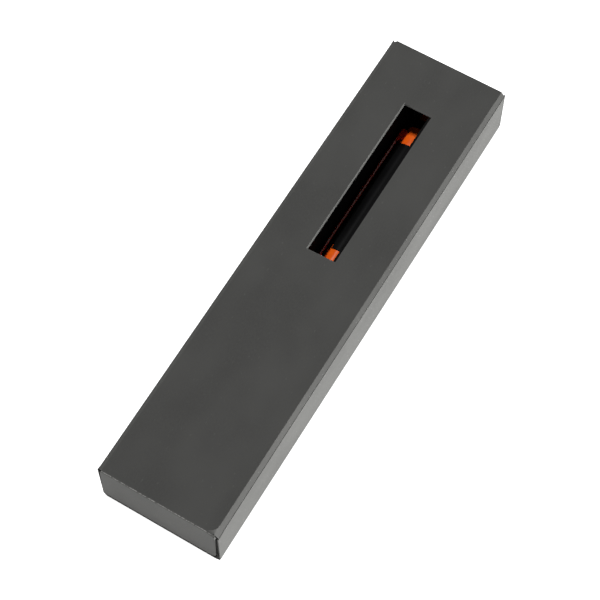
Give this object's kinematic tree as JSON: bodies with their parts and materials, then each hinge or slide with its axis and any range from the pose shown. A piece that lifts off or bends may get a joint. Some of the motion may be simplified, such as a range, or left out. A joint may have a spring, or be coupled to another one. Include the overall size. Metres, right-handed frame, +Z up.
{
  "type": "pen case",
  "caption": "Long flat folding carton for a pen, with a narrow window in its top, a tuck flap at each end and a folded tray that holds a push-button pen.",
  "frame": {"origin": "middle of the bottom panel, on the face that the case rests on", "axes": "+Y along the case from the front end flap to the rear end flap, +X across it to the right, +Z up through the window"},
  "size_m": [0.041, 0.173, 0.02],
  "materials": {
    "carton_board": "matte",
    "tray_card": "matte",
    "black_barrel": "satin",
    "orange_lacquer": "gloss",
    "white_plastic": "satin",
    "refill_brass": "satin",
    "spring_steel": "satin"
  },
  "bodies": {
    "case": {"top_panel": "carton_board", "bottom_panel": "carton_board", "left_side_panel": "carton_board", "right_side_panel": "carton_board", "glue_flap": "carton_board", "pen_tray": "tray_card"},
    "front_flap": {"front_end_flap": "carton_board"},
    "front_tongue": {"front_tuck_tongue": "carton_board"},
    "front_left_dust": {"front_left_dust_flap": "carton_board"},
    "front_right_dust": {"front_right_dust_flap": "carton_board"},
    "rear_flap": {"rear_end_flap": "carton_board"},
    "rear_tongue": {"rear_tuck_tongue": "carton_board"},
    "rear_left_dust": {"rear_left_dust_flap": "carton_board"},
    "rear_right_dust": {"rear_right_dust_flap": "carton_board"},
    "pen": {"pen_nose_cone": "orange_lacquer", "pen_grip_barrel": "black_barrel", "pen_centre_band": "orange_lacquer", "pen_upper_barrel": "black_barrel", "pen_top_collar": "orange_lacquer", "pen_end_cap": "black_barrel", "pen_return_spring": "spring_steel"},
    "pen_clip": {"pen_clip": "orange_lacquer"},
    "pen_button": {"pen_push_button": "orange_lacquer"},
    "pen_refill": {"pen_cam_rotor": "white_plastic", "pen_refill_tube": "white_plastic", "pen_refill_tip": "refill_brass"}
  },
  "joints": [
    {"name": "front_flap_crease", "type": "hinge", "parent": "case", "child": "front_flap", "pos_m": [0, -0.0862, 0.0197], "axis": [-1, 0, 0], "range_deg": [0, 110]},
    {"name": "front_tongue_crease", "type": "hinge", "parent": "front_flap", "child": "front_tongue", "pos_m": [0, -0.0859, 0.0015], "axis": [1, 0, 0], "range_deg": [0, 44]},
    {"name": "front_left_dust_crease", "type": "hinge", "parent": "case", "child": "front_left_dust", "pos_m": [-0.0202, -0.08545, 0.01], "axis": [0, 0, -1], "range_deg": [0, 27.5]},
    {"name": "front_right_dust_crease", "type": "hinge", "parent": "case", "child": "front_right_dust", "pos_m": [0.0202, -0.08545, 0.01], "axis": [0, 0, 1], "range_deg": [0, 27.5]},
    {"name": "rear_flap_crease", "type": "hinge", "parent": "case", "child": "rear_flap", "pos_m": [0, 0.0862, 0.0197], "axis": [1, 0, 0], "range_deg": [0, 110]},
    {"name": "rear_tongue_crease", "type": "hinge", "parent": "rear_flap", "child": "rear_tongue", "pos_m": [0, 0.0859, 0.0015], "axis": [-1, 0, 0], "range_deg": [0, 44]},
    {"name": "rear_left_dust_crease", "type": "hinge", "parent": "case", "child": "rear_left_dust", "pos_m": [-0.0202, 0.08545, 0.01], "axis": [0, 0, 1], "range_deg": [0, 27.5]},
    {"name": "rear_right_dust_crease", "type": "hinge", "parent": "case", "child": "rear_right_dust", "pos_m": [0.0202, 0.08545, 0.01], "axis": [0, 0, -1], "range_deg": [0, 27.5]},
    {"name": "pen_slide", "type": "slide", "parent": "case", "child": "pen", "axis": [0, -1, 0], "range_m": [-0.004, 0.014]},
    {"name": "clip_flex", "type": "hinge", "parent": "pen", "child": "pen_clip", "pos_m": [-0.00408, 0.06315, 0.00732], "axis": [-0.4226, 0, -0.9063], "range_deg": [0, 0.6], "stiffness_Nm_per_rad": 2.5},
    {"name": "button_press", "type": "slide", "parent": "pen", "child": "pen_button", "axis": [0, -1, 0], "range_m": [0, 0.004], "stiffness_N_per_m": 400, "springref_m": -0.002},
    {"name": "refill_slide", "type": "slide", "parent": "pen", "child": "pen_refill", "axis": [0, -1, 0], "range_m": [0, 0.004], "deforming": ["pen_return_spring"]}
  ],
  "couplings": [
    {"joint": "front_tongue_crease", "follows": "front_flap_crease", "ratio": 0.4},
    {"joint": "front_left_dust_crease", "follows": "front_flap_crease", "ratio": 0.25},
    {"joint": "front_right_dust_crease", "follows": "front_flap_crease", "ratio": 0.25},
    {"joint": "rear_tongue_crease", "follows": "rear_flap_crease", "ratio": 0.4},
    {"joint": "rear_left_dust_crease", "follows": "rear_flap_crease", "ratio": 0.25},
    {"joint": "rear_right_dust_crease", "follows": "rear_flap_crease", "ratio": 0.25},
    {"joint": "refill_slide", "follows": "button_press", "ratio": 1}
  ]
}
